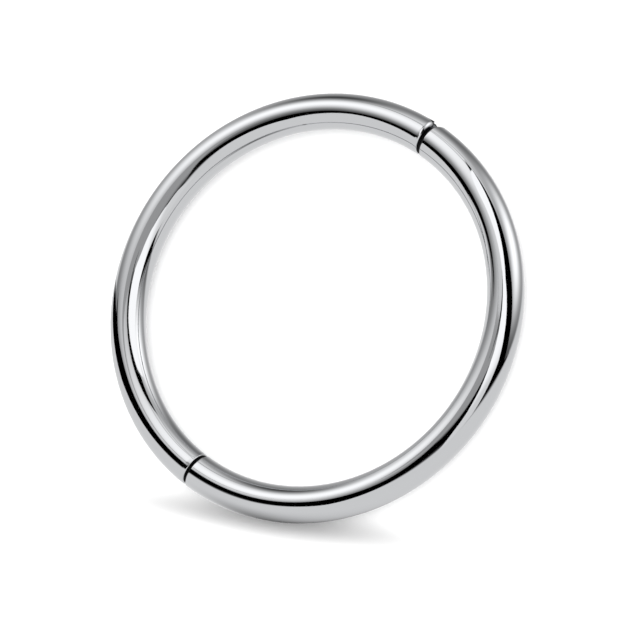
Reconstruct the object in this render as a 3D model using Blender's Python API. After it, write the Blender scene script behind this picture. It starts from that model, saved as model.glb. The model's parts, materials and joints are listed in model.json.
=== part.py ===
"""Hinged hoop earring, in metres with +Z up.

A round wire hoop lies on its side, its centre over the origin and its wire resting on Z = 0.
It is cut across into two halves. At +X the hinged half's flat tongue turns on a pin between
the two cheeks of the fixed half. At -X a short post on the hinged half snaps into a socket in
the fixed half. The fixed half is the +Y side, and the hinged half the -Y side.
"""

import math

import bmesh
import bpy
from mathutils import Matrix, Vector

# Hoop
INNER_DIAMETER = 12.0e-3
WIRE_DIAMETER = 1.2e-3
END_CHAMFER = 0.045e-3

# Hinge
HINGE_GAP = 0.13e-3
OPENING_ANGLE = math.radians(30.0)
STOP_CLEARANCE = 0.015e-3
PIVOT_SETBACK = 0.30e-3
PIVOT_OUTWARD = 0.22e-3
TONGUE_THICKNESS = 0.40e-3
TONGUE_HALF_WIDTH = 0.27e-3
TONGUE_ROOT = 0.60e-3
TONGUE_CLEARANCE = 0.03e-3

# Hinge pin, driven in from the underside and polished flush there
PIN_DIAMETER = 0.24e-3
PIN_RUNNING_CLEARANCE = 0.03e-3
PIN_SEAT_CLEARANCE = 0.015e-3
PIN_RECESS = 0.01e-3
PIN_COVER = 0.12e-3

# Clasp
CLASP_GAP = 0.09e-3
POST_DIAMETER = 0.32e-3
POST_PROJECTION = 0.45e-3
POST_SEAT_DEPTH = 0.55e-3
POST_SEAT_CLEARANCE = 0.015e-3
SOCKET_CLEARANCE = 0.05e-3
SOCKET_END_CLEARANCE = 0.07e-3

# Facets
WIRE_SIDES = 32
ARC_STEPS = 60
ROUND_SIDES = 20
TAIL_STEPS = 12
TIP_STEPS = 4

# Finish: polished surgical steel
STEEL_COLOUR = (0.60, 0.60, 0.61, 1.0)
STEEL_ROUGHNESS = 0.06
SMOOTH_BELOW = math.radians(30.0)

# Worked out from the sizes above
WIRE_RADIUS = WIRE_DIAMETER / 2
HOOP_RADIUS = (INNER_DIAMETER + WIRE_DIAMETER) / 2
PIVOT = Vector(
    (
        math.sqrt((HOOP_RADIUS + PIVOT_OUTWARD) ** 2 - PIVOT_SETBACK**2),
        PIVOT_SETBACK,
        WIRE_RADIUS,
    )
)
PIN_RADIUS = PIN_DIAMETER / 2
POST_RADIUS = POST_DIAMETER / 2
CLASP = Vector((-HOOP_RADIUS, 0.0, WIRE_RADIUS))
BEYOND = WIRE_DIAMETER  # how far a cutter runs past what it cuts


def remove_everything():
    """Empties the scene that the script starts in."""
    for obj in list(bpy.data.objects):
        bpy.data.objects.remove(obj)


def steel():
    """Mirror-polished surgical steel."""
    material = bpy.data.materials.new("polished_surgical_steel")
    material.use_nodes = True
    shader = material.node_tree.nodes["Principled BSDF"]
    shader.inputs["Base Color"].default_value = STEEL_COLOUR
    shader.inputs["Metallic"].default_value = 1.0
    shader.inputs["Roughness"].default_value = STEEL_ROUGHNESS
    return material


def empty(name, location):
    """A holder for the pieces that stand or move together."""
    holder = bpy.data.objects.new(name, None)
    holder.location = location
    holder.empty_display_size = WIRE_DIAMETER
    bpy.context.scene.collection.objects.link(holder)
    return holder


def add_object(name, shape, holder, material=None):
    """Makes an object of a bmesh in hoop coordinates, with its origin on its holder."""
    bmesh.ops.recalc_face_normals(shape, faces=shape.faces)
    mesh = bpy.data.meshes.new(name)
    shape.to_mesh(mesh)
    shape.free()
    mesh.transform(Matrix.Translation(-holder.location))
    mesh.shade_smooth()
    mesh.set_sharp_from_angle(angle=SMOOTH_BELOW)
    obj = bpy.data.objects.new(name, mesh)
    obj.parent = holder
    bpy.context.scene.collection.objects.link(obj)
    if material:
        mesh.materials.append(material)
    return obj


def add_guide(name, shape, holder):
    """A shape that only cuts or joins another, and isn't part of the model."""
    guide = add_object(name, shape, holder)
    guide.hide_render = True
    guide.display_type = "WIRE"
    return guide


def combine(obj, guide, operation):
    """Cuts the guide out of the object, or joins it on."""
    boolean = obj.modifiers.new(guide.name, "BOOLEAN")
    boolean.operation = operation
    boolean.solver = "EXACT"
    boolean.object = guide


def loft(rings):
    """A closed solid through rings of points, with a flat cap on the first and the last."""
    shape = bmesh.new()
    rows = [[shape.verts.new(point) for point in ring] for ring in rings]
    for lower, upper in zip(rows, rows[1:]):
        for k in range(len(lower)):
            following = (k + 1) % len(lower)
            shape.faces.new((lower[k], lower[following], upper[following], upper[k]))
    shape.faces.new(rows[0][::-1])
    shape.faces.new(rows[-1])
    return shape


def wire_ring(angle, radius):
    """The wire's cross-section at an angle round the hoop, with a flat side on its underside."""
    corner = radius / math.cos(math.pi / WIRE_SIDES)
    ring = []
    for k in range(WIRE_SIDES):
        turn = (k + 0.5) * 2 * math.pi / WIRE_SIDES
        reach = HOOP_RADIUS + corner * math.cos(turn)
        height = WIRE_RADIUS + corner * math.sin(turn)
        ring.append((reach * math.cos(angle), reach * math.sin(angle), height))
    return ring


def half_hoop(first_angle, first_gap, last_gap):
    """Half of the hoop, from first_angle round half a turn, chamfered at both end faces."""
    start = first_angle + first_gap / 2 / HOOP_RADIUS
    stop = first_angle + math.pi - last_gap / 2 / HOOP_RADIUS
    chamfer = END_CHAMFER / HOOP_RADIUS
    rings = [wire_ring(start, WIRE_RADIUS - END_CHAMFER)]
    for step in range(ARC_STEPS + 1):
        share = step / ARC_STEPS
        angle = (start + chamfer) * (1 - share) + (stop - chamfer) * share
        rings.append(wire_ring(angle, WIRE_RADIUS))
    rings.append(wire_ring(stop, WIRE_RADIUS - END_CHAMFER))
    return loft(rings)


def box(low, high):
    """A box from its lowest to its highest corner."""
    (x0, y0, z0), (x1, y1, z1) = low, high
    floor = [(x0, y0), (x1, y0), (x1, y1), (x0, y1)]
    return loft([[(x, y, z) for x, y in floor] for z in (z0, z1)])


def turned(profile, centre, axis):
    """A solid turned about an axis through centre, from (distance along it, radius) pairs."""
    upright = Vector((0, 0, 1)).rotation_difference(Vector(axis)).to_matrix()
    rings = []
    for along, radius in profile:
        ring = []
        for k in range(ROUND_SIDES):
            turn = k * 2 * math.pi / ROUND_SIDES
            point = Vector((radius * math.cos(turn), radius * math.sin(turn), along))
            ring.append(centre + upright @ point)
        rings.append(ring)
    return loft(rings)


def bore(radius, centre, axis, start, stop):
    """A cutter whose flats lie outside the radius, so that what turns in it keeps its clearance."""
    corner = radius / math.cos(math.pi / ROUND_SIDES)
    return turned([(start, corner), (stop, corner)], centre, axis)


def hinge_plate(half_width, swing, reach, thickness):
    """A flat plate with a round tail about the pivot and two sides that reach back from it.

    The inner side runs back along Y, and the outer side is turned outwards by swing.
    """
    outline = [Vector((-half_width, -reach))]
    outline.append(Matrix.Rotation(swing, 2) @ Vector((half_width, -reach)))
    for step in range(TAIL_STEPS + 1):
        turn = swing + (math.pi - swing) * step / TAIL_STEPS
        outline.append(half_width * Vector((math.cos(turn), math.sin(turn))))
    shape = loft([[(x, y, z) for x, y in outline] for z in (-thickness / 2, thickness / 2)])
    shape.transform(Matrix.Translation(PIVOT))
    return shape


def tongue():
    """The flat tongue, rooted inside the hinged half."""
    reach = PIVOT_SETBACK + HINGE_GAP / 2 + TONGUE_ROOT
    return hinge_plate(TONGUE_HALF_WIDTH, 0.0, reach, TONGUE_THICKNESS)


def slot_cutter():
    """The slot between the fixed half's two cheeks, open as far outwards as the tongue swings."""
    half_width = TONGUE_HALF_WIDTH + TONGUE_CLEARANCE
    thickness = TONGUE_THICKNESS + 2 * TONGUE_CLEARANCE
    return hinge_plate(half_width, OPENING_ANGLE, PIVOT_SETBACK + BEYOND, thickness)


def relief_cutter():
    """What the hinged half's shoulders lose, so that they meet the cheeks' ends fully open.

    It is the space beyond the cheeks' end face, less the stop clearance, turned back about the
    pivot by the opening angle.
    """
    lean = Matrix.Rotation(HINGE_GAP / 2 / HOOP_RADIUS, 4, "Z")
    turn_back = Matrix.Rotation(-OPENING_ANGLE, 4, "Z")
    to_pivot = Matrix.Translation(PIVOT)
    low = (HOOP_RADIUS - 2 * BEYOND, -STOP_CLEARANCE, -BEYOND)
    high = (HOOP_RADIUS + 2 * BEYOND, 2 * BEYOND, WIRE_DIAMETER + BEYOND)
    shape = box(low, high)
    shape.transform(to_pivot @ turn_back @ to_pivot.inverted() @ lean)
    return shape


def pin_end_height():
    """Where the pin's blind bore ends, under a cover of metal at its thinnest place."""
    edge = PIVOT_OUTWARD + PIN_RADIUS + PIN_SEAT_CLEARANCE
    return WIRE_RADIUS + math.sqrt(WIRE_RADIUS**2 - edge**2) - PIN_COVER


def hinge_pin():
    """The pin, whose lower end follows the wire's round underside."""
    top = pin_end_height() - PIN_SEAT_CLEARANCE
    shape = turned([(0.0, PIN_RADIUS), (top, PIN_RADIUS)], PIVOT.xy.to_3d(), (0, 0, 1))
    for vertex in shape.verts:
        if vertex.co.z < WIRE_RADIUS:
            across = vertex.co.xy.length - HOOP_RADIUS
            vertex.co.z = WIRE_RADIUS - math.sqrt(WIRE_RADIUS**2 - across**2) + PIN_RECESS
    bmesh.ops.triangulate(shape, faces=[f for f in shape.faces if len(f.verts) > 4])
    return shape


def latch_post():
    """The snap post: a plain round pin with a domed tip, half of it seated in the hinged half."""
    seat = -CLASP_GAP / 2 - POST_SEAT_DEPTH
    shoulder = CLASP_GAP / 2 + POST_PROJECTION - POST_RADIUS
    profile = [(seat, POST_RADIUS), (shoulder, POST_RADIUS)]
    for step in range(1, TIP_STEPS + 1):
        rise = 0.5 * math.pi * step / (TIP_STEPS + 1)
        profile.append((shoulder + POST_RADIUS * math.sin(rise), POST_RADIUS * math.cos(rise)))
    return turned(profile, CLASP, (0, 1, 0))


def add_fixed_half(holder, material):
    """The half with the hinge's two cheeks, the pin's seat and the clasp's socket."""
    half = add_object("fixed_half", half_hoop(0.0, HINGE_GAP, CLASP_GAP), holder, material)
    socket_end = CLASP_GAP / 2 + POST_PROJECTION + SOCKET_END_CLEARANCE
    cuts = {
        "cheek_slot": slot_cutter(),
        "pin_seat": bore(
            PIN_RADIUS + PIN_SEAT_CLEARANCE, PIVOT.xy.to_3d(), (0, 0, 1), -BEYOND, pin_end_height()
        ),
        "post_socket": bore(
            POST_RADIUS + SOCKET_CLEARANCE, CLASP, (0, 1, 0), -BEYOND, socket_end
        ),
    }
    for name, shape in cuts.items():
        combine(half, add_guide(name, shape, holder), "DIFFERENCE")


def add_hinged_half(holder, material):
    """The half that swings, with the tongue, its bore for the pin, and the post's seat."""
    half = add_object("hinged_half", half_hoop(math.pi, CLASP_GAP, HINGE_GAP), holder, material)
    combine(half, add_guide("shoulder_relief", relief_cutter(), holder), "DIFFERENCE")
    combine(half, add_guide("tongue_plate", tongue(), holder), "UNION")
    cuts = {
        "pin_bore": bore(
            PIN_RADIUS + PIN_RUNNING_CLEARANCE, PIVOT, (0, 0, 1), -BEYOND, BEYOND
        ),
        "post_seat": bore(
            POST_RADIUS + POST_SEAT_CLEARANCE,
            CLASP,
            (0, 1, 0),
            -CLASP_GAP / 2 - POST_SEAT_DEPTH - POST_SEAT_CLEARANCE,
            BEYOND,
        ),
    }
    for name, shape in cuts.items():
        combine(half, add_guide(name, shape, holder), "DIFFERENCE")


def main():
    remove_everything()
    material = steel()
    hoop = empty("hoop", Vector((0, 0, 0)))
    hinge_axis = empty("hinge_axis", PIVOT)
    add_fixed_half(hoop, material)
    add_object("hinge_pin", hinge_pin(), hoop, material)
    add_hinged_half(hinge_axis, material)
    add_object("latch_post", latch_post(), hinge_axis, material)


main()
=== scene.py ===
# A hinged hoop earring in mirror-polished steel, on a pale floor in a soft studio.
import json
import math

import bmesh
import bpy
from bpy.props import FloatProperty, FloatVectorProperty, PointerProperty
from mathutils import Matrix, Vector


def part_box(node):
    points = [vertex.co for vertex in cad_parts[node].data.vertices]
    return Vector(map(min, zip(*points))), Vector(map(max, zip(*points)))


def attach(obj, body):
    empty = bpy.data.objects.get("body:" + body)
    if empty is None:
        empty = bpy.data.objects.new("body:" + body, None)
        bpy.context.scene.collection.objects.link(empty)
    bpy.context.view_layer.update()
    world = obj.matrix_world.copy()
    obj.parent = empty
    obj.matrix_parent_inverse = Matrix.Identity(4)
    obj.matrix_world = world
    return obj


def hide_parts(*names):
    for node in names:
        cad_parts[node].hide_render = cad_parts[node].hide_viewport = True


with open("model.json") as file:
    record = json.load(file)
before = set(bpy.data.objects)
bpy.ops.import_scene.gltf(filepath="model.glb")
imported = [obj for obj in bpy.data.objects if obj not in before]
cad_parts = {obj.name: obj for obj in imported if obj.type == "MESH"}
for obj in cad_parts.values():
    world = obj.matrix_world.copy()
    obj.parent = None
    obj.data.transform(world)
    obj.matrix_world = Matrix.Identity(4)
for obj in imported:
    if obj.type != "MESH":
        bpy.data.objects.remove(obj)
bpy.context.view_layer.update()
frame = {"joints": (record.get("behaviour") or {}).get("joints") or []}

bl_info = {
    "name": "Hinged hoop earring",
    "version": (1, 0, 0),
    "blender": (4, 5, 0),
    "location": "View3D > Sidebar > Hoop",
    "description": "Builds a polished hinged hoop and the soft studio it is shown in",
    "category": "Object",
}

MM = 0.001

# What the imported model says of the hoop
HALF_LOW, HALF_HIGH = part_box("fixed_half")
PIN_LOW, PIN_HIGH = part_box("hinge_pin")
POST_LOW, POST_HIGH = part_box("latch_post")
HINGE = frame["joints"][0]
PIVOT = Vector(HINGE["pos_m"])
OPENING = math.radians(HINGE["range_deg"][1])
WIRE_DIAMETER = HALF_HIGH.z - HALF_LOW.z
HOOP_DIAMETER = 2 * HALF_HIGH.y - WIRE_DIAMETER
PIN_RADIUS = (PIN_HIGH.x - PIN_LOW.x) / 2
POST_RADIUS = (POST_HIGH.z - POST_LOW.z) / 2

# How finely the pieces are drawn
WIRE_SIDES = 96
WIRE_STATIONS = 261
CAP_RINGS = 8
STATION_POWER = 1.8
ROUND_SIDES = 64
TAIL_STEPS = 32
SMOOTH_BELOW = math.radians(32)
# Points closer together than this are one
WELD = 0.0001 * MM

# Steel: noise steps a millimetre along and round the wire, and the heights that the noise stands for
LINE_STEPS = (0.15, 12.0, 1.0)
LINE_HEIGHT = 0.00015 * MM
SWELL_STEPS = 0.45
SWELL_HEIGHT = 0.0015 * MM
TOOL_MARK_SIZE = 0.06 * MM
TOOL_MARK_HEIGHT = 0.0015 * MM
SAWN_ROUGHNESS = 0.45
MILLED_ROUGHNESS = 0.3
# The small turned pieces are this many times rougher than the wire
TURNED_POLISH = 2
# Their edges are broken by this share of their radius
BROKEN_EDGE = 0.08
# A ring inside each flat end, at this share of the radius, keeps its shading flat
PIN_END_RING = 0.5
POST_END_RING = 0.6


def linear(colour):
    """A colour written as sRGB hex, as the linear RGBA that the shaders take."""
    parts = [int(colour[i : i + 2], 16) / 255 for i in (1, 3, 5)]
    return tuple(c / 12.92 if c <= 0.04045 else ((c + 0.055) / 1.055) ** 2.4 for c in parts) + (1.0,)


def add_node(tree, kind, inputs=None, **settings):
    """Adds a node, with its settings, and its inputs as values or as sockets to link from."""
    node = tree.nodes.new(kind)
    for name, value in settings.items():
        setattr(node, name, value)
    for key, value in (inputs or {}).items():
        if isinstance(value, bpy.types.NodeSocket):
            tree.links.new(value, node.inputs[key])
        else:
            node.inputs[key].default_value = value
    return node


def add_steps(tree, made, steps):
    """Adds the nodes of a calculation one after another, where a text input names an earlier one."""
    for name, kind, operation, inputs in steps:
        sockets = {}
        for place, value in enumerate(inputs):
            sockets[place] = made[value] if isinstance(value, str) else value
        made[name] = add_node(tree, kind, sockets, operation=operation).outputs[0]
    return made


class HoopSizes(bpy.types.PropertyGroup):
    """The hoop's sizes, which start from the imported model's."""

    wire_diameter: FloatProperty(
        name="Wire diameter", description="Thickness of the round wire",
        default=WIRE_DIAMETER, min=0.0002, subtype="DISTANCE", unit="LENGTH",
    )
    hoop_diameter: FloatProperty(
        name="Hoop diameter", description="Diameter along the middle of the wire",
        default=HOOP_DIAMETER, min=0.002, subtype="DISTANCE", unit="LENGTH",
    )
    hinge_gap: FloatProperty(
        name="Hinge gap", description="Gap between the two halves at the hinge",
        default=0.115 * MM, min=0.0, subtype="DISTANCE", unit="LENGTH",
    )
    clasp_gap: FloatProperty(
        name="Clasp gap", description="Gap between the two halves at the clasp",
        default=0.09 * MM, min=0.0, subtype="DISTANCE", unit="LENGTH",
    )
    fixed_corner: FloatProperty(
        name="Fixed half inner corner",
        description="Corner radius inside the hoop at the fixed half's ends",
        default=0.03 * MM, min=0.001 * MM, subtype="DISTANCE", unit="LENGTH",
    )
    fixed_outer_corner: FloatProperty(
        name="Fixed half outer corner",
        description="Corner radius outside the hoop at the fixed half's clasp end",
        default=0.045 * MM, min=0.001 * MM, subtype="DISTANCE", unit="LENGTH",
    )
    fixed_hinge_corner: FloatProperty(
        name="Fixed half hinge corner",
        description="Corner radius outside the hoop at the fixed half's hinge end",
        default=0.18 * MM, min=0.001 * MM, subtype="DISTANCE", unit="LENGTH",
    )
    hinged_corner: FloatProperty(
        name="Hinged half inner corner",
        description="Corner radius inside the hoop at the hinged half's ends",
        default=0.07 * MM, min=0.001 * MM, subtype="DISTANCE", unit="LENGTH",
    )
    hinged_outer_corner: FloatProperty(
        name="Hinged half outer corner",
        description="Corner radius outside the hoop at the hinged half's clasp end",
        default=0.03 * MM, min=0.001 * MM, subtype="DISTANCE", unit="LENGTH",
    )
    hinged_hinge_corner: FloatProperty(
        name="Hinged half hinge corner",
        description="Corner radius outside the hoop at the hinged half's hinge end",
        default=0.06 * MM, min=0.001 * MM, subtype="DISTANCE", unit="LENGTH",
    )
    # How far the sawn ends' painted shade reaches round the hinged half's corners
    painted_shade_corner: FloatProperty(
        name="Painted shade corner", description="Share of the hinged half's corners in the sawn ends' painted shade",
        default=0.8, min=0.0, max=1.0,
    )
    rolled_depth: FloatProperty(
        name="Rolled depth", description="How far polishing has rolled the fixed half's ends over",
        default=0.012 * MM, min=0.0, subtype="DISTANCE", unit="LENGTH",
    )
    rolled_length: FloatProperty(
        name="Rolled length", description="Length over which the fixed half's ends are rolled over",
        default=0.16 * MM, min=0.0001 * MM, subtype="DISTANCE", unit="LENGTH",
    )
    relief_start: FloatProperty(
        name="Relief start", description="Distance from the hoop's axis where the hinged half is cut back",
        default=7.00 * MM, subtype="DISTANCE", unit="LENGTH",
    )
    tongue_half_width: FloatProperty(
        name="Tongue half width", description="Radius of the hinge tongue's round tail",
        default=0.27 * MM, subtype="DISTANCE", unit="LENGTH",
    )
    tongue_thickness: FloatProperty(
        name="Tongue thickness", description="Thickness of the flat hinge tongue",
        default=0.40 * MM, subtype="DISTANCE", unit="LENGTH",
    )
    tongue_clearance: FloatProperty(
        name="Tongue clearance", description="Running clearance round the hinge tongue",
        default=0.03 * MM, subtype="DISTANCE", unit="LENGTH",
    )
    pin_clearance: FloatProperty(
        name="Pin clearance", description="Clearance of the pin in the cheeks' bore",
        default=0.015 * MM, subtype="DISTANCE", unit="LENGTH",
    )
    pin_running_clearance: FloatProperty(
        name="Pin running clearance", description="Clearance of the pin in the tongue's bore",
        default=0.03 * MM, subtype="DISTANCE", unit="LENGTH",
    )
    socket_clearance: FloatProperty(
        name="Socket clearance", description="Clearance of the latch post in its socket",
        default=0.05 * MM, subtype="DISTANCE", unit="LENGTH",
    )
    socket_end_clearance: FloatProperty(
        name="Socket end clearance", description="Space beyond the latch post's tip in its socket",
        default=0.07 * MM, subtype="DISTANCE", unit="LENGTH",
    )


class HoopFinish(bpy.types.PropertyGroup):
    """Colours and polish of the steel."""

    steel: FloatVectorProperty(
        name="Polished steel", description="What the polished wire reflects, face on",
        default=linear("#C7C8CA"), size=4, min=0.0, max=1.0, subtype="COLOR",
    )
    pin_steel: FloatVectorProperty(
        name="Pin steel", description="What the ground pin reflects, face on",
        default=linear("#C0C1C4"), size=4, min=0.0, max=1.0, subtype="COLOR",
    )
    post_steel: FloatVectorProperty(
        name="Post steel", description="What the turned post reflects, face on",
        default=linear("#C3C4C7"), size=4, min=0.0, max=1.0, subtype="COLOR",
    )
    # The sawn ends' near-black colour is painted shade: it stands in for the deep shade inside the hinge and
    # clasp gaps
    painted_shade_end: FloatVectorProperty(
        name="Sawn ends, painted shade", description="Colour of the sawn ends, near black as painted shade for the gaps",
        default=linear("#2C2C2E"), size=4, min=0.0, max=1.0, subtype="COLOR",
    )
    milled: FloatVectorProperty(
        name="Milled steel", description="Colour of the slot, the tongue and the bores",
        default=linear("#77787B"), size=4, min=0.0, max=1.0, subtype="COLOR",
    )
    polish: FloatProperty(
        name="Polish roughness", description="Roughness of the mirror polish",
        default=0.05, min=0.0, max=1.0,
    )


class HoopStage(bpy.types.PropertyGroup):
    """The camera's place, the floor and the studio."""

    camera_azimuth: FloatProperty(
        name="Camera azimuth", description="Camera's direction round the hoop",
        default=math.radians(2.45), subtype="ANGLE", unit="ROTATION",
    )
    camera_elevation: FloatProperty(
        name="Camera elevation", description="Camera's height above the floor",
        default=math.radians(64.65), subtype="ANGLE", unit="ROTATION",
    )
    camera_roll: FloatProperty(
        name="Camera roll", description="Turn of the picture about the line of sight",
        default=math.radians(-57.44), subtype="ANGLE", unit="ROTATION",
    )
    camera_distance: FloatProperty(
        name="Camera distance", description="Distance from the camera to the hoop's middle",
        default=98.8 * MM, subtype="DISTANCE", unit="LENGTH",
    )
    lens: FloatProperty(
        name="Lens", description="Focal length in millimetres", default=170.2, min=1.0,
    )
    floor: FloatVectorProperty(
        name="Floor", description="Colour of the pale floor",
        default=linear("#FAFAFA"), size=4, min=0.0, max=1.0, subtype="COLOR",
    )


def wire_tree():
    """Geometry nodes that sweep a round wire along an arc, with closed and rounded ends.

    A grid is bent round the wire and along the arc. Its stations stand closer towards both ends,
    where the corner and the rolled edge are drawn, and its first and last rings close the caps.
    """
    tree = bpy.data.node_groups.new("Swept wire", "GeometryNodeTree")
    for name, kind, default in (
        ("Wire Radius", "NodeSocketFloat", 0.6 * MM),
        ("Hoop Radius", "NodeSocketFloat", 6.6 * MM),
        ("Middle Angle", "NodeSocketFloat", 0.5 * math.pi),
        ("Half Length", "NodeSocketFloat", 10.3 * MM),
        ("Inner Corner", "NodeSocketFloat", 0.04 * MM),
        ("Outer Corner", "NodeSocketFloat", 0.08 * MM),
        ("Hinge Corner", "NodeSocketFloat", 0.08 * MM),
        # How far round the corners the sawn ends' painted shade reaches
        ("Painted Shade Corner", "NodeSocketFloat", 0.0),
        ("Hinge Side", "NodeSocketFloat", 1.0),
        ("Rolled Depth", "NodeSocketFloat", 0.0),
        ("Rolled Length", "NodeSocketFloat", 0.16 * MM),
        ("Relief Start", "NodeSocketFloat", 1.0),
        ("Relief Slope", "NodeSocketFloat", 0.0),
        ("Relief Reach", "NodeSocketFloat", 1.0 * MM),
        ("Sides", "NodeSocketInt", WIRE_SIDES),
        ("Stations", "NodeSocketInt", WIRE_STATIONS),
        ("Material", "NodeSocketMaterial", None),
        ("End Material", "NodeSocketMaterial", None),
    ):
        socket = tree.interface.new_socket(name, in_out="INPUT", socket_type=kind)
        if default is not None:
            socket.default_value = default
    tree.interface.new_socket("Geometry", in_out="OUTPUT", socket_type="NodeSocketGeometry")
    given = add_node(tree, "NodeGroupInput").outputs
    maths = "ShaderNodeMath"
    columns = add_node(tree, maths, {0: given["Sides"], 1: 1.0}, operation="ADD").outputs[0]
    grid = add_node(
        tree, "GeometryNodeMeshGrid",
        {"Size X": 1.0, "Size Y": 1.0, "Vertices X": given["Stations"], "Vertices Y": columns},
    )
    position = add_node(tree, "GeometryNodeInputPosition").outputs[0]
    place = add_node(tree, "ShaderNodeSeparateXYZ", {0: position}).outputs
    made = {socket.name: socket for socket in given}
    made.update(along=place[0], across=place[1])
    cap = CAP_RINGS / (WIRE_STATIONS - 1)
    add_steps(tree, made, (
        # Share of the way in from the nearer end, and the cap's part of it
        ("inward", maths, "ABSOLUTE", ("along",)),
        ("inward", maths, "SUBTRACT", (0.5, "inward")),
        ("on cap", maths, "DIVIDE", ("inward", cap)),
        ("on cap", maths, "MINIMUM", ("on cap", 1.0)),
        # Distance from the nearer end along the wire
        ("share", maths, "SUBTRACT", ("inward", cap)),
        ("share", maths, "MAXIMUM", ("share", 0.0)),
        ("share", maths, "DIVIDE", ("share", 0.5 - cap)),
        ("share", maths, "POWER", ("share", STATION_POWER)),
        ("distance", maths, "MULTIPLY", ("share", "Half Length")),
        # The hinge is at the last end where Hinge Side is 1, and at the first where it is -1
        ("side", maths, "SIGN", ("along",)),
        ("at hinge", maths, "MULTIPLY", ("side", "Hinge Side")),
        ("at hinge", maths, "MAXIMUM", ("at hinge", 0.0)),
        # The corner is a quarter circle with one radius inside the hoop and another outside
        ("turn", maths, "MULTIPLY", ("across", 2 * math.pi)),
        ("cosine", maths, "COSINE", ("turn",)),
        ("sine", maths, "SINE", ("turn",)),
        ("outer", maths, "MULTIPLY_ADD", ("cosine", 0.5, 0.5)),
        ("extra", maths, "SUBTRACT", ("Hinge Corner", "Outer Corner")),
        ("extra", maths, "MULTIPLY_ADD", ("extra", "at hinge", "Outer Corner")),
        ("extra", maths, "SUBTRACT", ("extra", "Inner Corner")),
        ("size", maths, "MULTIPLY_ADD", ("outer", "extra", "Inner Corner")),
        ("corner", maths, "DIVIDE", ("distance", "size")),
        ("corner", maths, "MINIMUM", ("corner", 1.0)),
        ("corner", maths, "SUBTRACT", (1.0, "corner")),
        ("corner", maths, "MULTIPLY", ("corner", "corner")),
        ("corner", maths, "SUBTRACT", (1.0, "corner")),
        ("corner", maths, "SQRT", ("corner",)),
        ("corner", maths, "SUBTRACT", (1.0, "corner")),
        ("corner", maths, "MULTIPLY", ("corner", "size")),
    ))
    # The rolled edge and the relief both fade out along the wire
    for name, reach, depth in (
        ("rolled", made["Rolled Length"], made["Rolled Depth"]),
        ("fade", made["Relief Reach"], 1.0),
    ):
        made[name] = add_node(
            tree, "ShaderNodeMapRange",
            {0: made["distance"], 2: reach, 3: depth, 4: 0.0}, interpolation_type="SMOOTHSTEP",
        ).outputs[0]
    add_steps(tree, made, (
        ("radius", maths, "SUBTRACT", ("Wire Radius", "corner")),
        ("radius", maths, "SUBTRACT", ("radius", "rolled")),
        ("radius", maths, "MULTIPLY", ("radius", "on cap")),
        ("out", maths, "MULTIPLY_ADD", ("radius", "cosine", "Hoop Radius")),
        ("up", maths, "MULTIPLY_ADD", ("radius", "sine", "Wire Radius")),
        # The relief cuts the hinge's end back where it lies outside the relief's start
        ("relief", maths, "SUBTRACT", ("out", "Relief Start")),
        ("relief", maths, "MAXIMUM", ("relief", 0.0)),
        ("relief", maths, "MULTIPLY", ("relief", "Relief Slope")),
        ("relief", maths, "MULTIPLY", ("relief", "fade")),
        ("relief", maths, "MULTIPLY", ("relief", "at hinge")),
        # Angle round the hoop
        ("arc", maths, "SUBTRACT", ("Half Length", "distance")),
        ("arc", maths, "SUBTRACT", ("arc", "relief")),
        ("arc", maths, "DIVIDE", ("arc", "Hoop Radius")),
        ("angle", maths, "MULTIPLY_ADD", ("side", "arc", "Middle Angle")),
        # The dark end material, painted shade for the gaps, reaches this far from the end
        ("painted_shade_end", maths, "MULTIPLY_ADD", ("size", "Painted Shade Corner", WELD)),
        ("cosine", maths, "COSINE", ("angle",)),
        ("sine", maths, "SINE", ("angle",)),
        ("x", maths, "MULTIPLY", ("out", "cosine")),
        ("y", maths, "MULTIPLY", ("out", "sine")),
    ))
    bent = add_node(tree, "ShaderNodeCombineXYZ", {0: made["x"], 1: made["y"], 2: made["up"]})
    capped = add_node(tree, maths, {0: made["distance"], 1: made["painted_shade_end"]}, operation="LESS_THAN")
    marked = add_node(
        tree, "GeometryNodeSetMaterial",
        {"Geometry": grid.outputs["Mesh"], "Selection": capped.outputs[0], "Material": given["End Material"]},
    )
    wire = add_node(
        tree, "GeometryNodeSetPosition", {"Geometry": marked.outputs[0], "Position": bent.outputs[0]},
    )
    closed = add_node(
        tree, "GeometryNodeMergeByDistance", {"Geometry": wire.outputs[0], "Distance": WELD},
    )
    smooth = add_node(
        tree, "GeometryNodeSetShadeSmooth", {"Geometry": closed.outputs[0], "Shade Smooth": True},
    )
    real = add_node(tree, "GeometryNodeRealizeInstances", {0: smooth.outputs[0]})
    ends = add_node(tree, "GeometryNodeMaterialSelection", {"Material": given["End Material"]})
    rest = add_node(tree, "FunctionNodeBooleanMath", {0: ends.outputs[0]}, operation="NOT")
    dressed = add_node(
        tree, "GeometryNodeSetMaterial",
        {"Geometry": real.outputs[0], "Selection": rest.outputs[0], "Material": given["Material"]},
    )
    add_node(tree, "NodeGroupOutput", {0: dressed.outputs[0]})
    return tree


def new_object(name, data):
    """An object in the scene, at the origin."""
    obj = bpy.data.objects.new(name, data)
    bpy.context.scene.collection.objects.link(obj)
    return obj


def new_mesh(name, shape, material):
    """A mesh in one material from a finished shape."""
    mesh = bpy.data.meshes.new(name)
    shape.to_mesh(mesh)
    shape.free()
    mesh.materials.append(material)
    return mesh


def new_material(name):
    """A material with an empty node tree."""
    material = bpy.data.materials.new(name)
    material.use_nodes = True
    material.node_tree.nodes.clear()
    return material


def hoop_middle():
    """The middle of the hoop as it lies."""
    return Vector((0, 0, bpy.context.scene.hoop_sizes.wire_diameter / 2))


def settle(obj):
    """Turns an object with live modifiers into a plain mesh."""
    bpy.context.view_layer.update()
    shape = bpy.data.meshes.new_from_object(obj.evaluated_get(bpy.context.evaluated_depsgraph_get()))
    obj.modifiers.clear()
    obj.data = shape
    shape.name = obj.name


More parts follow.
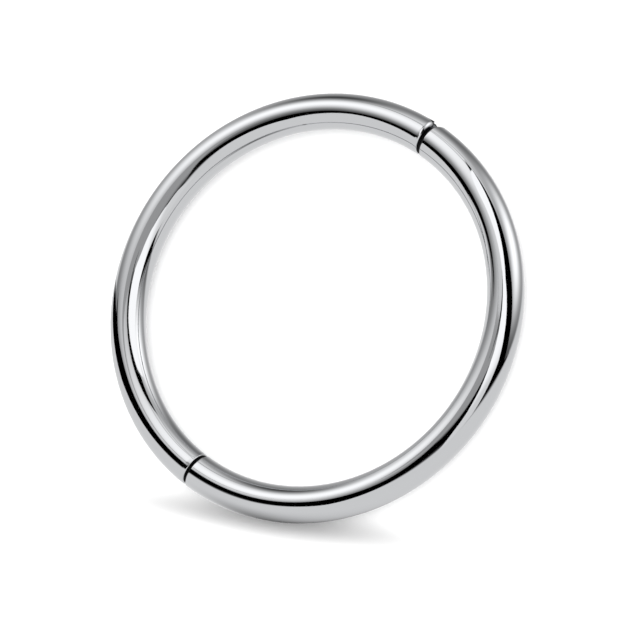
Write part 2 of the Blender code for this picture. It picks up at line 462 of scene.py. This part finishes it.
def swept_half(name, material, end_material, middle_angle, shape):
    """One plain half of the hoop, straight from the geometry nodes."""
    sizes = bpy.context.scene.hoop_sizes
    radius = sizes.hoop_diameter / 2
    # Each half gives up half of both gaps. They differ, so its middle leans to the smaller one.
    gaps = (sizes.hinge_gap + sizes.clasp_gap) / 2
    lean = (sizes.hinge_gap - sizes.clasp_gap) / 4 / radius
    values = {
        "Wire Radius": sizes.wire_diameter / 2,
        "Hoop Radius": radius,
        "Middle Angle": middle_angle + (lean if middle_angle < math.pi else -lean),
        "Half Length": (math.pi * radius - gaps) / 2,
        "Rolled Length": sizes.rolled_length,
        "Relief Start": sizes.relief_start,
        "Material": material,
        "End Material": end_material,
    }
    values.update(shape)
    obj = new_object(name, bpy.data.meshes.new(name))
    sweep = obj.modifiers.new("Swept wire", "NODES")
    sweep.node_group = bpy.data.node_groups.get("Swept wire") or wire_tree()
    for item in sweep.node_group.interface.items_tree:
        if item.in_out == "INPUT" and item.name in values:
            sweep[item.identifier] = values[item.name]
    settle(obj)
    return obj


def loft(rings):
    """A closed shape skinned over rings of equally many points."""
    shape = bmesh.new()
    rows = [[shape.verts.new(point) for point in ring] for ring in rings]
    count = len(rows[0])
    for low, high in zip(rows, rows[1:]):
        for k in range(count):
            shape.faces.new((low[k], low[(k + 1) % count], high[(k + 1) % count], high[k]))
    shape.faces.new(rows[0][::-1])
    shape.faces.new(rows[-1])
    bmesh.ops.recalc_face_normals(shape, faces=shape.faces)
    return shape


def turned(profile, centre, axis):
    """A round shape from a profile of (distance along the axis, radius) pairs."""
    upright = Vector(axis).to_track_quat("Z", "Y").to_matrix()
    rings = []
    for along, radius in profile:
        ring = []
        for k in range(ROUND_SIDES):
            turn = k * 2 * math.pi / ROUND_SIDES
            place = Vector((radius * math.cos(turn), radius * math.sin(turn), along))
            ring.append(Vector(centre) + upright @ place)
        rings.append(ring)
    return loft(rings)


def hinge_plate(half_width, swing, reach, thickness):
    """A flat plate with a round tail about the pivot, whose outer side is turned out by swing."""
    outline = [Vector((-half_width, -reach)), Matrix.Rotation(swing, 2) @ Vector((half_width, -reach))]
    for step in range(TAIL_STEPS + 1):
        turn = swing + (math.pi - swing) * step / TAIL_STEPS
        outline.append(half_width * Vector((math.cos(turn), math.sin(turn))))
    shape = loft([[(x, y, z) for x, y in outline] for z in (-thickness / 2, thickness / 2)])
    shape.transform(Matrix.Translation(PIVOT))
    return shape


def combine(obj, shape, operation, material):
    """Joins a shape to an object or cuts it out, in a material, and leaves a plain mesh."""
    guide = new_object("guide", new_mesh("guide", shape, material))
    boolean = obj.modifiers.new("Boolean", "BOOLEAN")
    boolean.operation = operation
    boolean.solver = "EXACT"
    boolean.material_mode = "TRANSFER"
    boolean.object = guide
    settle(obj)
    bpy.data.objects.remove(guide)


def finish_piece(obj, body, node):
    """Smooths a finished piece and sets it in the frame."""
    obj.data.shade_smooth()
    obj.data.set_sharp_from_angle(angle=SMOOTH_BELOW)
    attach(obj, body)
    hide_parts(node)


def polished_steel(name, colour, roughness):
    """Drawn steel wire, ground and buffed to a mirror.

    The eye sees sharp reflections, grey steel that brightens towards the edges of the wire, very
    faint lines along the wire from drawing and grinding, and a slight waviness from the buff.
    """
    material = new_material(name)
    tree = material.node_tree
    maths = "ShaderNodeMath"
    sizes = bpy.context.scene.hoop_sizes
    place = add_node(tree, "ShaderNodeTexCoord").outputs["Object"]
    axes = add_node(tree, "ShaderNodeSeparateXYZ", {0: place}).outputs
    made = add_steps(tree, {"x": axes[0], "y": axes[1], "z": axes[2]}, (
        # Place along the wire and round it, both in millimetres
        ("along", maths, "ARCTAN2", ("y", "x")),
        ("along", maths, "MULTIPLY", ("along", sizes.hoop_diameter / 2 / MM)),
        ("x2", maths, "MULTIPLY", ("x", "x")),
        ("out", maths, "MULTIPLY_ADD", ("y", "y", "x2")),
        ("out", maths, "SQRT", ("out",)),
        ("out", maths, "SUBTRACT", ("out", sizes.hoop_diameter / 2)),
        ("up", maths, "SUBTRACT", ("z", sizes.wire_diameter / 2)),
        ("round", maths, "ARCTAN2", ("up", "out")),
        ("round", maths, "MULTIPLY", ("round", sizes.wire_diameter / 2 / MM)),
    ))
    # Draw lines are 0.04 to 0.08 mm apart and several millimetres long
    flow = add_node(tree, "ShaderNodeCombineXYZ", {0: made["along"], 1: made["round"]}).outputs[0]
    drawn = add_node(tree, "ShaderNodeVectorMath", {0: flow, 1: LINE_STEPS}, operation="MULTIPLY")
    lines = add_node(
        tree, "ShaderNodeTexNoise",
        {"Vector": drawn.outputs[0], "Scale": 1.0, "Detail": 3.0, "Roughness": 0.6},
    ).outputs["Fac"]
    gloss = add_node(
        tree, "ShaderNodeMapRange",
        {"Value": lines, "From Min": 0.35, "From Max": 0.75,
         "To Min": roughness * 0.8, "To Max": roughness * 1.5},
    ).outputs[0]
    # The buff leaves swells 2 to 4 mm long and well under a micrometre high
    swell = add_node(
        tree, "ShaderNodeTexNoise", {"Vector": flow, "Scale": SWELL_STEPS, "Detail": 1.0, "Roughness": 0.4},
    ).outputs["Fac"]
    waves = add_node(
        tree, "ShaderNodeBump", {"Strength": 1.0, "Distance": SWELL_HEIGHT, "Height": swell},
    ).outputs[0]
    marks = add_node(
        tree, "ShaderNodeBump",
        {"Strength": 1.0, "Distance": LINE_HEIGHT, "Height": lines, "Normal": waves},
    ).outputs[0]
    steel = add_node(
        tree, "ShaderNodeBsdfPrincipled",
        {"Base Color": colour, "Metallic": 1.0, "Roughness": gloss, "Normal": marks},
    )
    add_node(tree, "ShaderNodeOutputMaterial", {"Surface": steel.outputs[0]})
    return material


def cut_steel(name, colour, roughness):
    """Sawn or milled steel that the buff doesn't reach.

    The eye sees a dull grey with tool marks 0.03 to 0.06 mm apart. The sawn ends' near-black colour is
    painted shade for the deep gaps; the milled steel is a mid grey.
    """
    material = new_material(name)
    tree = material.node_tree
    place = add_node(tree, "ShaderNodeTexCoord").outputs["Object"]
    marks = add_node(
        tree, "ShaderNodeTexNoise", {"Vector": place, "Scale": 1 / TOOL_MARK_SIZE, "Detail": 2.0},
    ).outputs["Fac"]
    dull = add_node(
        tree, "ShaderNodeMapRange", {"Value": marks, "To Min": roughness * 0.8, "To Max": roughness * 1.3},
    ).outputs[0]
    bump = add_node(
        tree, "ShaderNodeBump", {"Strength": 1.0, "Distance": TOOL_MARK_HEIGHT, "Height": marks},
    ).outputs[0]
    steel = add_node(
        tree, "ShaderNodeBsdfPrincipled",
        {"Base Color": colour, "Metallic": 1.0, "Roughness": dull, "Normal": bump},
    )
    add_node(tree, "ShaderNodeOutputMaterial", {"Surface": steel.outputs[0]})
    return material


class HOOP_OT_fixed_half(bpy.types.Operator):
    """Half of the wire hoop, with two cheeks at the hinge and a blind socket at the clasp"""

    bl_idname = "hoop.fixed_half"
    bl_label = "Fixed half"

    def execute(self, context):
        sizes = context.scene.hoop_sizes
        finish = context.scene.hoop_finish
        steel = polished_steel("Mirror-polished steel, fixed half", finish.steel, finish.polish)
        # The sawn ends take a near-black colour, painted shade for the deep gaps
        painted_shade_end = cut_steel("Sawn steel end with painted shade, fixed half", finish.painted_shade_end, SAWN_ROUGHNESS)
        milled = cut_steel("Milled steel, fixed half", finish.milled, MILLED_ROUGHNESS)
        half = swept_half("fixed_half_polished", steel, painted_shade_end, math.pi / 2, {
            "Inner Corner": sizes.fixed_corner,
            "Outer Corner": sizes.fixed_outer_corner,
            "Hinge Corner": sizes.fixed_hinge_corner,
            "Hinge Side": -1.0,
            "Rolled Depth": sizes.rolled_depth,
        })
        slot = hinge_plate(
            sizes.tongue_half_width + sizes.tongue_clearance, OPENING, PIVOT.y + sizes.wire_diameter,
            sizes.tongue_thickness + 2 * sizes.tongue_clearance,
        )
        combine(half, slot, "DIFFERENCE", milled)
        bore = turned(
            [(-sizes.wire_diameter, PIN_RADIUS + sizes.pin_clearance),
             (PIN_HIGH.z + sizes.pin_clearance, PIN_RADIUS + sizes.pin_clearance)],
            (PIVOT.x, PIVOT.y, 0.0), (0, 0, 1),
        )
        combine(half, bore, "DIFFERENCE", milled)
        post = (POST_LOW + POST_HIGH) / 2
        radius = POST_RADIUS + sizes.socket_clearance
        socket = turned(
            [(-sizes.clasp_gap, radius), (POST_HIGH.y + sizes.socket_end_clearance, radius)],
            (post.x, 0.0, post.z), (0, 1, 0),
        )
        combine(half, socket, "DIFFERENCE", milled)
        finish_piece(half, "fixed", "fixed_half")
        return {"FINISHED"}


class HOOP_OT_hinged_half(bpy.types.Operator):
    """The swinging half of the wire hoop, with the hinge's flat tongue and the post's seat"""

    bl_idname = "hoop.hinged_half"
    bl_label = "Hinged half"

    def execute(self, context):
        sizes = context.scene.hoop_sizes
        finish = context.scene.hoop_finish
        steel = polished_steel("Mirror-polished steel, hinged half", finish.steel, finish.polish)
        # The sawn ends take a near-black colour, painted shade for the deep gaps
        painted_shade_end = cut_steel("Sawn steel end with painted shade, hinged half", finish.painted_shade_end, SAWN_ROUGHNESS)
        milled = cut_steel("Milled steel, hinged half", finish.milled, MILLED_ROUGHNESS)
        half = swept_half("hinged_half_polished", steel, painted_shade_end, 1.5 * math.pi, {
            "Inner Corner": sizes.hinged_corner,
            "Outer Corner": sizes.hinged_outer_corner,
            "Hinge Corner": sizes.hinged_hinge_corner,
            # Share of the corners in the sawn ends' painted shade
            "Painted Shade Corner": sizes.painted_shade_corner,
            "Hinge Side": 1.0,
            "Relief Slope": math.tan(OPENING),
        })
        tongue = hinge_plate(
            sizes.tongue_half_width, 0.0, PIVOT.y + sizes.hinge_gap / 2 + sizes.wire_diameter / 2,
            sizes.tongue_thickness,
        )
        combine(half, tongue, "UNION", milled)
        radius = PIN_RADIUS + sizes.pin_running_clearance
        bore = turned(
            [(-sizes.tongue_thickness, radius), (sizes.tongue_thickness, radius)], PIVOT, (0, 0, 1),
        )
        combine(half, bore, "DIFFERENCE", milled)
        post = (POST_LOW + POST_HIGH) / 2
        radius = POST_RADIUS + sizes.pin_clearance
        seat = turned(
            [(POST_LOW.y - sizes.pin_clearance, radius), (sizes.clasp_gap, radius)],
            (post.x, 0.0, post.z), (0, 1, 0),
        )
        combine(half, seat, "DIFFERENCE", milled)
        finish_piece(half, "swing", "hinged_half")
        return {"FINISHED"}


def underside(across, wire_radius, hoop_radius):
    """Height of the wire's round underside at a distance from the hoop's axis."""
    return wire_radius - math.sqrt(wire_radius**2 - (across - hoop_radius) ** 2)


class HOOP_OT_hinge_pin(bpy.types.Operator):
    """The hinge's round pin, put in from the underside and polished flush"""

    bl_idname = "hoop.hinge_pin"
    bl_label = "Hinge pin"

    def execute(self, context):
        finish = context.scene.hoop_finish
        steel = polished_steel(
            "Ground and polished steel pin", finish.pin_steel, finish.polish * TURNED_POLISH,
        )
        edge = PIN_RADIUS * BROKEN_EDGE
        top = PIN_HIGH.z
        profile = [(0.0, PIN_RADIUS * PIN_END_RING), (0.0, PIN_RADIUS - edge), (edge, PIN_RADIUS)]
        profile += [(top - edge, PIN_RADIUS), (top, PIN_RADIUS - edge), (top, PIN_RADIUS * PIN_END_RING)]
        shape = turned(profile, (PIVOT.x, PIVOT.y, 0.0), (0, 0, 1))
        # The lower end follows the wire's round underside, a little inside it
        wire_radius = context.scene.hoop_sizes.wire_diameter / 2
        hoop_radius = context.scene.hoop_sizes.hoop_diameter / 2
        recess = PIN_LOW.z - underside(PIN_LOW.x, wire_radius, hoop_radius)
        for vertex in shape.verts:
            if vertex.co.z < wire_radius:
                across = vertex.co.xy.length
                vertex.co.z += underside(across, wire_radius, hoop_radius) + recess
        pin = new_object("hinge_pin_polished", new_mesh("hinge_pin_polished", shape, steel))
        finish_piece(pin, "fixed", "hinge_pin")
        return {"FINISHED"}


class HOOP_OT_latch_post(bpy.types.Operator):
    """The clasp's plain round post with a domed tip"""

    bl_idname = "hoop.latch_post"
    bl_label = "Latch post"

    def execute(self, context):
        finish = context.scene.hoop_finish
        steel = polished_steel(
            "Turned and polished steel post", finish.post_steel, finish.polish * TURNED_POLISH,
        )
        middle = (POST_LOW + POST_HIGH) / 2
        edge = POST_RADIUS * BROKEN_EDGE
        profile = [
            (POST_LOW.y, POST_RADIUS * POST_END_RING),
            (POST_LOW.y, POST_RADIUS - edge),
            (POST_LOW.y + edge, POST_RADIUS),
        ]
        for step in range(TAIL_STEPS):
            turn = math.pi / 2 * step / TAIL_STEPS
            profile.append((POST_HIGH.y - POST_RADIUS * (1 - math.sin(turn)), POST_RADIUS * math.cos(turn)))
        shape = turned(profile, (middle.x, 0.0, middle.z), (0, 1, 0))
        post = new_object("latch_post_polished", new_mesh("latch_post_polished", shape, steel))
        finish_piece(post, "swing", "latch_post")
        return {"FINISHED"}


# The studio, seen from the hoop: azimuth to the right of the camera and elevation above the table,
# in degrees. A soft box also has its spread across and up in degrees, how sharp its edge is, and its
# strength. A gap takes light away.
SOFT_BOXES = {
    "left": (-88, 47, 26, 16, 2.1, 1.43),
    "right": (83, 34, 24.5, 16.5, 2.4, 1.72),
    "overhead": (-21, 69, 19, 29, 2.3, 1.32),
    "back": (172, -6.5, 60, 41, 1.6, 0.92),
    "gap": (-125, 62, 17, 15, 2.5, -0.68),
    "far gap": (139, 40, 21, 22, 2.0, -0.24),
}
# The studio stands square to the camera, and is pitched by this much against it
STUDIO_PITCH = math.radians(12)
# The floor gets an even light, and a share of the soft boxes' light to throw its soft shadows
FLOOR_LIGHT = 1.75
SHADE_LIGHT = 0.15
# The bright table in the reflections: the elevation of its far edge, the edge's soft band to either
# side, and its tilt to the right and towards the camera, all in degrees
TABLE_LIGHT = 0.99
TABLE_EDGE = 0.9
TABLE_FADE = 3.75
TABLE_TILT = (5.5, 5.0)
# Corners of the cards: azimuth, elevation, and distance in hoop radii
BLACK_FLAG = (
    (-97, -1.5, 18.5), (-73.5, 1.5, 22), (-53, 6, 25), (-33.5, -8.5, 11), (-10, 2.5, 44), (22.5, -2.5, 15),
    (78, -6, 15.5), (61, -2.5, 21.5), (41.5, 39.5, 6.5), (41.5, 73.5, 6.6), (11, 63.5, 4.9), (5, 41.5, 8.9),
    (-35.5, 11, 14), (-91.5, 19.5, 19.5), (-82.5, 3, 10), (-133, 0.5, 2.8),
)
GREY_CARD = ((-47, 29, 13), (-10.5, 8, 3.5), (1.5, 31, 6.4), (-52, 33.5, 8))
WHITE_CARD = (
    (7.5, -14, 6.8), (-5.5, 16.5, 19), (-10, 40.5, 4.5), (-2.5, 56, 2.15), (62.5, 62, 2.2), (40, 30, 1.55),
    (37.5, 7, 3.7), (30, -10, 3.65),
)
# Each card's strength low down and high up, and the elevations between which it grows, in degrees
BLACK_GLOW = (0.0, 0.0, 0, 20)
GREY_GLOW = (0.02, 0.5, 8, 21)
WHITE_GLOW = (1.05, 1.65, 1.5, 19)
# The reflected table's contact shadow: place right and towards the camera, spreads, in hoop radii
CONTACT_PLACE = (-0.11, 0.28)
CONTACT_SPREAD = (0.31, 0.14)
CONTACT_DEPTH = 0.86
# The seams between the overhead light's panels: their ends as azimuth and elevation, their spreads
# along and across in degrees, and their distance in hoop radii
LIGHT_SEAMS = (((16, 62), (-91, 77.5)), ((42, 77), (-78, 81)))
SEAM_SPREAD = (13, 1.6)
SEAM_DISTANCE = 30
SEAM_DEPTH = 0.4
# The soft shadow on the floor beside the hoop: its middle, the way that it runs, and its spreads
SHADOW_PLACE = Vector((-6.5, -2.9, 0.02)) * MM
SHADOW_COURSE = math.radians(-64)
SHADOW_SPREAD = (4.8 * MM, 0.42 * MM)
SHADOW_DEPTH = 0.6
# A soft patch is drawn out to this many spreads
PATCH_REACH = 3
# The camera aims a little past the hoop's middle. Its sensor's width is in millimetres, as the lens is.
AIM_OFFSET = Vector((-0.250, -0.522, 0.0)) * MM
SENSOR_WIDTH = 36.0
CLIP_START = 1 * MM
CLIP_END = 10.0
# How far the floor reaches from the hoop
FLOOR_REACH = 2.0


def direction(azimuth, elevation):
    """A unit vector in the studio: x to the right of the camera, y up, z towards the camera."""
    a, e = math.radians(azimuth), math.radians(elevation)
    return Vector((math.sin(a) * math.cos(e), math.sin(e), math.cos(a) * math.cos(e)))


def studio_turn(camera):
    """The studio's turn in the scene: the camera's own, and the studio's pitch."""
    return camera.matrix_world.to_3x3().normalized() @ Matrix.Rotation(STUDIO_PITCH, 3, "X")


def stand(name, points, dress, over_floor=False):
    """A stage card over its rim's points, dressed by a function, that only steel or floor sees."""
    shape = bmesh.new()
    middle = shape.verts.new(sum(points, Vector()) / len(points))
    rim = [shape.verts.new(point) for point in points]
    for k, point in enumerate(rim):
        shape.faces.new((middle, point, rim[(k + 1) % len(rim)]))
    material = new_material(name)
    dress(material.node_tree)
    material.cycles.emission_sampling = "NONE"
    obj = new_object(name, new_mesh(name, shape, material))
    obj.visible_camera = False
    obj.visible_diffuse = over_floor
    obj.visible_glossy = not over_floor
    obj.visible_transmission = False
    obj.visible_volume_scatter = False
    obj.visible_shadow = False


def card(name, outline, glow, turn):
    """A card whose strength grows with the elevation."""
    low, high, first, last = glow
    radius = bpy.context.scene.hoop_sizes.hoop_diameter / 2
    centre = hoop_middle()

    def dress(tree):
        place = add_node(tree, "ShaderNodeTexCoord").outputs["Object"]
        vectors = "ShaderNodeVectorMath"
        out = add_node(tree, vectors, {0: place, 1: centre}, operation="SUBTRACT").outputs[0]
        out = add_node(tree, vectors, {0: out}, operation="NORMALIZE").outputs[0]
        up = add_node(tree, vectors, {0: out, 1: turn @ Vector((0, 1, 0))}, operation="DOT_PRODUCT")
        strength = add_node(
            tree, "ShaderNodeMapRange",
            {0: up.outputs["Value"], 1: math.sin(math.radians(first)), 2: math.sin(math.radians(last)),
             3: low, 4: high},
            interpolation_type="SMOOTHSTEP",
        ).outputs[0]
        light = add_node(tree, "ShaderNodeEmission", {"Strength": strength})
        add_node(tree, "ShaderNodeOutputMaterial", {"Surface": light.outputs[0]})

    stand(name, [centre + turn @ direction(a, e) * d * radius for a, e, d in outline], dress)


def soft_shadow(name, middle, across, forward, depth, over_floor=False):
    """A soft dark patch that fades out from its middle, with its two spreads as vectors."""

    def dress(tree):
        place = add_node(tree, "ShaderNodeTexCoord").outputs["Object"]
        vectors = "ShaderNodeVectorMath"
        from_middle = add_node(tree, vectors, {0: place, 1: middle}, operation="SUBTRACT").outputs[0]
        made = {}
        for axis_name, axis in (("x", across), ("y", forward)):
            spread = axis / axis.length_squared
            node = add_node(tree, vectors, {0: from_middle, 1: spread}, operation="DOT_PRODUCT")
            made[axis_name] = node.outputs["Value"]
        maths = "ShaderNodeMath"
        add_steps(tree, made, (
            ("x", maths, "MULTIPLY", ("x", "x")),
            ("sum", maths, "MULTIPLY_ADD", ("y", "y", "x")),
            ("sum", maths, "MULTIPLY", ("sum", -0.5)),
            ("fall", maths, "EXPONENT", ("sum",)),
            ("fall", maths, "MULTIPLY", ("fall", depth)),
        ))
        clear = add_node(tree, "ShaderNodeBsdfTransparent").outputs[0]
        dark = add_node(tree, "ShaderNodeEmission", {"Strength": 0.0}).outputs[0]
        shader = add_node(tree, "ShaderNodeMixShader", {0: made["fall"], 1: clear, 2: dark})
        add_node(tree, "ShaderNodeOutputMaterial", {"Surface": shader.outputs[0]})

    reach = PATCH_REACH
    corners = ((-reach, -reach), (reach, -reach), (reach, reach), (-reach, reach))
    stand(name, [middle + x * across + y * forward for x, y in corners], dress, over_floor)


def contact_shadow(turn):
    """The soft shadow under the hoop on the table that its reflections show."""
    sizes = bpy.context.scene.hoop_sizes
    radius = sizes.hoop_diameter / 2
    height = -radius - sizes.wire_diameter / 2
    place = Vector((CONTACT_PLACE[0] * radius, height, CONTACT_PLACE[1] * radius))
    across = turn @ Vector((CONTACT_SPREAD[0] * radius, 0, 0))
    forward = turn @ Vector((0, 0, CONTACT_SPREAD[1] * radius))
    soft_shadow("Contact shadow", hoop_middle() + turn @ place, across, forward, CONTACT_DEPTH)


def light_seams(turn):
    """The thin dark seams in the overhead light, which draw fine lines along the polished wire."""
    reach = SEAM_DISTANCE * bpy.context.scene.hoop_sizes.hoop_diameter / 2
    length, width = (reach * math.tan(math.radians(angle)) for angle in SEAM_SPREAD)
    for ends in LIGHT_SEAMS:
        first, last = (direction(*end) for end in ends)
        ahead = (first + last).normalized()
        along = (last - first).normalized()
        soft_shadow(
            "Light seam", hoop_middle() + turn @ ahead * reach,
            turn @ along * length, turn @ ahead.cross(along) * width, SEAM_DEPTH,
        )


def floor_shadow():
    """The soft shadow on the floor beside the hoop."""
    along = Vector((math.cos(SHADOW_COURSE), math.sin(SHADOW_COURSE), 0))
    aside = Vector((0, 0, 1)).cross(along)
    soft_shadow(
        "Floor shadow", SHADOW_PLACE, along * SHADOW_SPREAD[0], aside * SHADOW_SPREAD[1],
        SHADOW_DEPTH, over_floor=True,
    )


def place_camera(stage):
    """The camera, from its place round the hoop."""
    data = bpy.data.cameras.new("Camera")
    data.lens = stage.lens
    data.sensor_width = SENSOR_WIDTH
    data.clip_start = CLIP_START
    data.clip_end = CLIP_END
    camera = new_object("Camera", data)
    a, e = stage.camera_azimuth, stage.camera_elevation
    out = Vector((math.sin(a) * math.cos(e), -math.cos(a) * math.cos(e), math.sin(e)))
    camera.location = hoop_middle() + out * stage.camera_distance
    look = (hoop_middle() + AIM_OFFSET - camera.location).to_track_quat("-Z", "Y").to_matrix()
    camera.rotation_euler = (look @ Matrix.Rotation(stage.camera_roll, 3, "Z")).to_euler()
    bpy.context.scene.camera = camera
    bpy.context.view_layer.update()
    return camera


def matt_paper(name, colour):
    """Uncoated white paper.

    The eye sees an even, pale ground with no shine.
    """
    material = new_material(name)
    tree = material.node_tree
    paper = add_node(
        tree, "ShaderNodeBsdfPrincipled",
        {"Base Color": colour, "Roughness": 0.9, "Specular IOR Level": 0.0},
    )
    add_node(tree, "ShaderNodeOutputMaterial", {"Surface": paper.outputs[0]})
    return material


def lay_floor(stage):
    """The floor, which the steel doesn't reflect: its reflections show the studio's table."""
    shape = bmesh.new()
    bmesh.ops.create_grid(shape, x_segments=2, y_segments=2, size=FLOOR_REACH)
    floor = new_object("Floor", new_mesh("Floor", shape, matt_paper("Matt white paper", stage.floor)))
    floor.visible_glossy = False


def studio_world(turn):
    """Soft boxes that the steel reflects, over an even light that falls on the floor."""
    world = bpy.data.worlds.new("Soft studio")
    world.use_nodes = True
    tree = world.node_tree
    tree.nodes.clear()
    maths, vectors = "ShaderNodeMath", "ShaderNodeVectorMath"
    seen = add_node(tree, "ShaderNodeTexCoord").outputs["Generated"]
    made = {"light": 0.0}
    for azimuth, elevation, across, upward, sharpness, strength in SOFT_BOXES.values():
        ahead = direction(azimuth, elevation)
        east = Vector((math.cos(math.radians(azimuth)), 0, -math.sin(math.radians(azimuth))))
        north = ahead.cross(east)
        for axis_name, axis in (("x", east), ("y", north), ("z", ahead)):
            node = add_node(tree, vectors, {0: seen, 1: turn @ axis}, operation="DOT_PRODUCT")
            made[axis_name] = node.outputs["Value"]
        # The box's glow falls off with the angle from its middle, more steeply where it is sharper
        add_steps(tree, made, (
            ("x", maths, "MULTIPLY", ("x", upward / across)),
            ("x", maths, "MULTIPLY", ("x", "x")),
            ("y", maths, "MULTIPLY_ADD", ("y", "y", "x")),
            ("y", maths, "SQRT", ("y",)),
            ("angle", maths, "ARCTAN2", ("y", "z")),
            ("angle", maths, "DIVIDE", ("angle", math.radians(upward))),
            ("angle", maths, "POWER", ("angle", sharpness)),
            ("angle", maths, "MULTIPLY", ("angle", -0.5)),
            ("glow", maths, "EXPONENT", ("angle",)),
        ))
        made["light"] = add_node(
            tree, maths, {0: made["glow"], 1: strength, 2: made["light"]}, operation="MULTIPLY_ADD",
        ).outputs[0]
    tilt = [math.tan(math.radians(angle)) for angle in TABLE_TILT]
    upright = turn @ Vector((tilt[0], 1, tilt[1])).normalized()
    up = add_node(tree, vectors, {0: seen, 1: upright}, operation="DOT_PRODUCT").outputs["Value"]
    height = add_node(tree, maths, {0: up}, operation="ARCSINE").outputs[0]
    table = add_node(
        tree, "ShaderNodeMapRange",
        {"Value": height, "From Min": math.radians(TABLE_EDGE - TABLE_FADE),
         "From Max": math.radians(TABLE_EDGE + TABLE_FADE)},
        interpolation_type="SMOOTHSTEP",
    ).outputs[0]
    lit = add_node(tree, maths, {0: made["light"], 1: 0.0}, operation="MAXIMUM").outputs[0]
    studio = add_node(
        tree, "ShaderNodeMix", {"Factor": table, "A": TABLE_LIGHT, "B": lit}, data_type="FLOAT",
    ).outputs["Result"]
    # Reflections see the studio, and all else gets the floor's light
    mirrored = add_node(tree, "ShaderNodeLightPath").outputs["Is Glossy Ray"]
    around = add_node(tree, maths, {0: lit, 1: SHADE_LIGHT, 2: FLOOR_LIGHT}, operation="MULTIPLY_ADD")
    strength = add_node(
        tree, "ShaderNodeMix", {"Factor": mirrored, "A": around.outputs[0], "B": studio}, data_type="FLOAT",
    ).outputs["Result"]
    background = add_node(tree, "ShaderNodeBackground", {"Color": (1, 1, 1, 1), "Strength": strength})
    add_node(tree, "ShaderNodeOutputWorld", {"Surface": background.outputs[0]})
    world.cycles.sampling_method = "NONE"
    bpy.context.scene.world = world


class HOOP_OT_stage(bpy.types.Operator):
    """The camera, the pale floor and the soft studio"""

    bl_idname = "hoop.stage"
    bl_label = "Camera, floor and studio"

    def execute(self, context):
        stage = context.scene.hoop_stage
        turn = studio_turn(place_camera(stage))
        lay_floor(stage)
        card("Black flag", BLACK_FLAG, BLACK_GLOW, turn)
        card("Grey card", GREY_CARD, GREY_GLOW, turn)
        card("White card", WHITE_CARD, WHITE_GLOW, turn)
        contact_shadow(turn)
        light_seams(turn)
        floor_shadow()
        studio_world(turn)
        context.scene.view_settings.view_transform = "Standard"
        return {"FINISHED"}


class HOOP_PT_hoop(bpy.types.Panel):
    """Lists the hoop's pieces and its stage"""

    bl_idname = "HOOP_PT_hoop"
    bl_label = "Hinged hoop"
    bl_space_type = "VIEW_3D"
    bl_region_type = "UI"
    bl_category = "Hoop"

    def draw(self, context):
        for group in (context.scene.hoop_sizes, context.scene.hoop_finish, context.scene.hoop_stage):
            for name in group.__annotations__:
                self.layout.prop(group, name)
        for operator in OPERATORS:
            self.layout.operator(operator.bl_idname)


GROUPS = (("hoop_sizes", HoopSizes), ("hoop_finish", HoopFinish), ("hoop_stage", HoopStage))
OPERATORS = (HOOP_OT_fixed_half, HOOP_OT_hinged_half, HOOP_OT_hinge_pin, HOOP_OT_latch_post, HOOP_OT_stage)


def register():
    for name, group in GROUPS:
        bpy.utils.register_class(group)
        setattr(bpy.types.Scene, name, PointerProperty(type=group))
    for operator in OPERATORS:
        bpy.utils.register_class(operator)
    bpy.utils.register_class(HOOP_PT_hoop)


def unregister():
    bpy.utils.unregister_class(HOOP_PT_hoop)
    for operator in reversed(OPERATORS):
        bpy.utils.unregister_class(operator)
    for name, group in reversed(GROUPS):
        delattr(bpy.types.Scene, name)
        bpy.utils.unregister_class(group)


def main():
    """Builds the pieces and the stage."""
    register()
    bpy.ops.hoop.fixed_half()
    bpy.ops.hoop.hinged_half()
    bpy.ops.hoop.hinge_pin()
    bpy.ops.hoop.latch_post()
    bpy.ops.hoop.stage()


if __name__ == "__main__":
    main()
